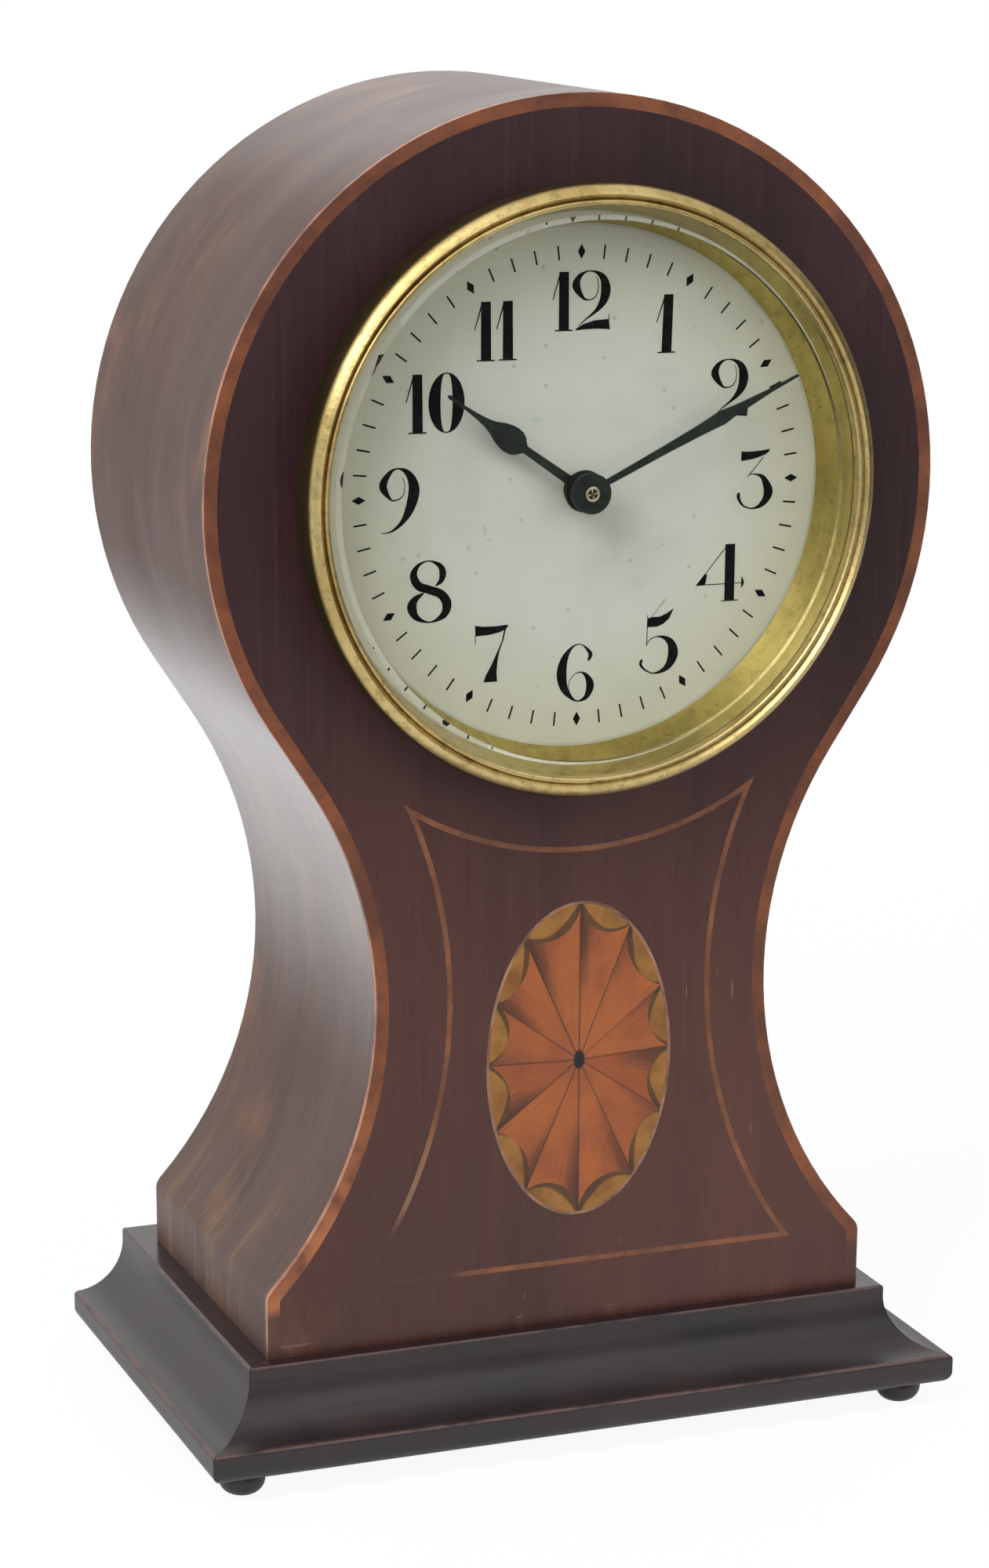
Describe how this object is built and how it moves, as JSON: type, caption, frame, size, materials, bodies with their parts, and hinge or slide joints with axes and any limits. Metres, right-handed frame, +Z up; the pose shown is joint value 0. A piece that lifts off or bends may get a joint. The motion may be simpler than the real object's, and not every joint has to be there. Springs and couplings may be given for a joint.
{
  "type": "mantel clock",
  "caption": "Balloon-shaped inlaid mahogany mantel clock: round cream dial under a bevelled glass in a brass bezel, fan patera, moulded black plinth on bun feet and a rear-wound lever movement",
  "frame": {"origin": "on the table, below the middle of the plinth's own box", "axes": "+Z up, the dial faces -Y, +X to the right of somebody who reads the dial"},
  "size_m": [0.1448, 0.091, 0.2398],
  "materials": {
    "mahogany_veneer": "french polished",
    "mahogany": "oiled",
    "stringing": "french polished boxwood",
    "satinwood": "french polished, sand shaded",
    "lunette_wood": "french polished",
    "ebonised_wood": "polished",
    "pine": "planed",
    "gilt_brass": "lacquered, worn",
    "brass": "brushed",
    "steel": "polished",
    "black_steel": "blued black",
    "blue_steel": "blued",
    "dial_paint": "satin cream",
    "crystal": "clear, bevelled"
  },
  "bodies": {
    "case": {"side_veneer": "mahogany_veneer", "front_veneer": "mahogany_veneer", "case_shell": "mahogany", "front_board": "mahogany", "back_board": "mahogany", "case_floor": "pine", "edge_stringing": "stringing", "panel_stringing": "stringing", "patera_rim": "stringing", "patera_lunettes": "lunette_wood", "patera_rays": "satinwood", "plinth_front_moulding": "ebonised_wood", "plinth_left_moulding": "ebonised_wood", "plinth_right_moulding": "ebonised_wood", "plinth_rear_rail": "ebonised_wood", "plinth_board": "pine", "feet": "ebonised_wood", "plinth_screws": "steel", "bezel": "gilt_brass", "bezel_screws": "steel", "glass": "crystal", "sight_ring": "gilt_brass", "dial": "dial_paint", "front_plate": "brass", "back_plate": "brass", "plate_pillars": "brass", "frame_screws": "blue_steel", "movement_drum": "brass", "clamp_posts": "brass", "clamp_screws": "steel", "rear_ring": "brass", "door_hinge_pin": "steel", "click_spring": "steel", "platform": "brass", "escape_cock": "brass", "hairspring": "blue_steel", "balance_cock": "brass"},
    "hand_arbor": {"centre_arbor": "brass", "minute_hand": "black_steel", "hand_boss": "black_steel", "setting_knob": "brass"},
    "hour_pipe": {"hour_wheel": "brass", "hour_hand": "black_steel"},
    "minute_gear": {"minute_wheel": "brass"},
    "spring_barrel": {"barrel": "brass", "barrel_cover": "brass", "mainspring": "blue_steel"},
    "winding_arbor": {"barrel_arbor": "steel", "ratchet_wheel": "steel"},
    "click_lever": {"click": "steel"},
    "intermediate_gear": {"intermediate_wheel": "brass"},
    "centre_gear": {"centre_wheel": "brass"},
    "third_gear": {"third_wheel": "brass"},
    "fourth_gear": {"fourth_wheel": "brass"},
    "escape_gear": {"escape_wheel": "brass"},
    "lever": {"pallet_lever": "steel"},
    "balance": {"balance_wheel": "brass"},
    "regulator_arm": {"regulator": "steel"},
    "door": {"rear_door": "brass", "door_knob": "brass"}
  },
  "joints": [
    {"name": "hands_turn", "type": "hinge", "parent": "case", "child": "hand_arbor", "pos_m": [0, -0.0227, 0.1738], "axis": [0, 1, 0], "continuous": true},
    {"name": "hour_turn", "type": "hinge", "parent": "case", "child": "hour_pipe", "pos_m": [0, -0.0317, 0.1738], "axis": [0, 1, 0], "continuous": true},
    {"name": "minute_wheel_turn", "type": "hinge", "parent": "case", "child": "minute_gear", "pos_m": [0.00728, -0.0287, 0.1696], "axis": [0, 1, 0], "continuous": true},
    {"name": "fourth_turn", "type": "hinge", "parent": "case", "child": "fourth_gear", "pos_m": [0.0015, -0.0067, 0.19079], "axis": [0, 1, 0], "continuous": true},
    {"name": "third_turn", "type": "hinge", "parent": "case", "child": "third_gear", "pos_m": [-0.007, -0.0107, 0.18373], "axis": [0, 1, 0], "continuous": true},
    {"name": "centre_turn", "type": "hinge", "parent": "case", "child": "centre_gear", "pos_m": [0, -0.0037, 0.1738], "axis": [0, 1, 0], "continuous": true},
    {"name": "intermediate_turn", "type": "hinge", "parent": "case", "child": "intermediate_gear", "pos_m": [0.01076, -0.0127, 0.16441], "axis": [0, 1, 0], "continuous": true},
    {"name": "barrel_turn", "type": "hinge", "parent": "case", "child": "spring_barrel", "pos_m": [-0.006, -0.0147, 0.15681], "axis": [0, 1, 0], "continuous": true},
    {"name": "escape_turn", "type": "hinge", "parent": "case", "child": "escape_gear", "pos_m": [-0.00401, -0.0027, 0.1982], "axis": [0, 1, 0], "continuous": true},
    {"name": "lever_rock", "type": "hinge", "parent": "case", "child": "lever", "pos_m": [0.00006, 0.0023, 0.19688], "axis": [0, 1, 0], "range_deg": [-5, 5]},
    {"name": "balance_swing", "type": "hinge", "parent": "case", "child": "balance", "pos_m": [0.00458, 0.0053, 0.196], "axis": [0, 1, 0], "range_deg": [-150, 150], "stiffness_Nm_per_rad": 0.000005},
    {"name": "regulator_turn", "type": "hinge", "parent": "case", "child": "regulator_arm", "pos_m": [0.00458, 0.01, 0.196], "axis": [0, 1, 0], "range_deg": [-20, 20]},
    {"name": "winding_turn", "type": "hinge", "parent": "case", "child": "winding_arbor", "pos_m": [-0.006, -0.0027, 0.15681], "axis": [0, 1, 0], "range_deg": [0, 1800]},
    {"name": "click_lift", "type": "hinge", "parent": "case", "child": "click_lever", "pos_m": [-0.00377, 0.0013, 0.16512], "axis": [0, -1, 0], "range_deg": [0, 15], "stiffness_Nm_per_rad": 0.0002, "springref_deg": -17.19},
    {"name": "rear_door_swing", "type": "hinge", "parent": "case", "child": "door", "pos_m": [-0.0412, 0.0393, 0.1738], "axis": [0, 0, 1], "range_deg": [0, 105]}
  ],
  "couplings": [
    {"joint": "hour_turn", "follows": "hands_turn", "ratio": 0.083333},
    {"joint": "minute_wheel_turn", "follows": "hands_turn", "ratio": -0.33333},
    {"joint": "third_turn", "follows": "fourth_turn", "ratio": -0.13333},
    {"joint": "centre_turn", "follows": "fourth_turn", "ratio": 0.016667},
    {"joint": "intermediate_turn", "follows": "fourth_turn", "ratio": -0.0027778},
    {"joint": "barrel_turn", "follows": "fourth_turn", "ratio": 0.00041667},
    {"joint": "escape_turn", "follows": "fourth_turn", "ratio": -10}
  ]
}
